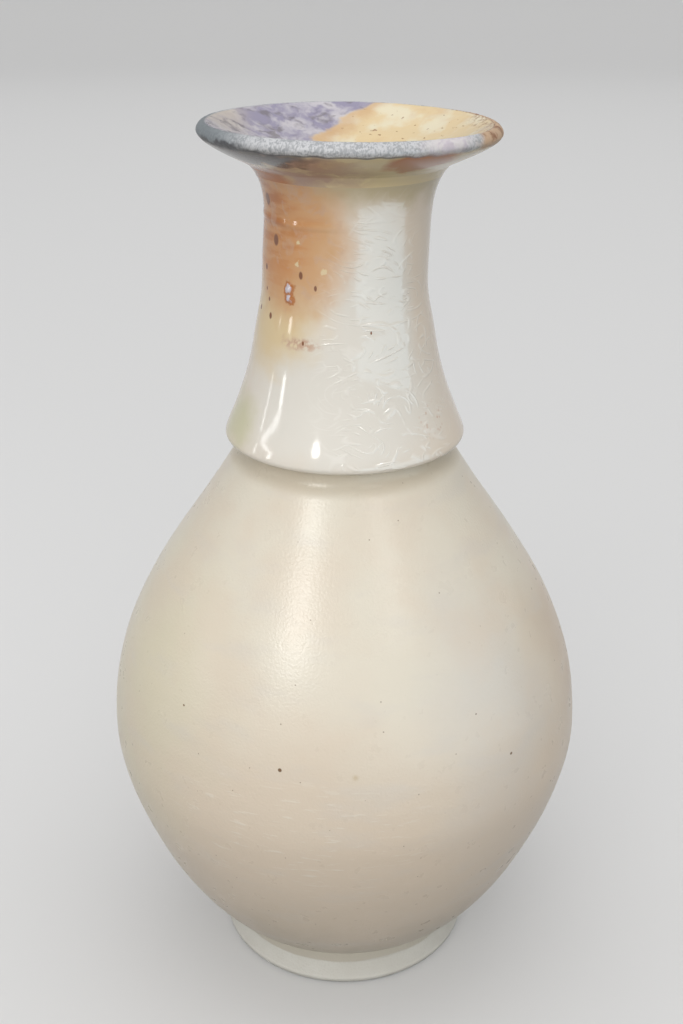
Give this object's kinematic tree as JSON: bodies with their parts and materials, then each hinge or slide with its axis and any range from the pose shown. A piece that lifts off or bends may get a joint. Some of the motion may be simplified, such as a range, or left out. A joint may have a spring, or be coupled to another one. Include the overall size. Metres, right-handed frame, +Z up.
{
  "type": "stoneware vase",
  "caption": "Bottle vase with a full belly on a bare foot ring, a flared neck whose rolled collar overhangs the shoulder, and a wide dish-shaped mouth.",
  "frame": {"origin": "middle of the face that the foot ring stands on", "axes": "+Z up along the vase's axis, -Y towards the side that the picture shows"},
  "size_m": [0.1546, 0.1546, 0.28],
  "materials": {
    "bare_clay": "unglazed fired clay",
    "joint_slip": "fired slip, matt",
    "satin_glaze": "satin cream glaze with iron specks",
    "gloss_glaze": "glossy crackled glaze with orange flashing",
    "ash_glaze": "glaze with a rough ash crust on the lip"
  },
  "bodies": {
    "root": {"foot_ring": "bare_clay", "foot_slip": "joint_slip", "body": "satin_glaze", "neck_slip": "joint_slip", "neck": "gloss_glaze", "mouth_slip": "joint_slip", "mouth": "ash_glaze"}
  },
  "joints": []
}
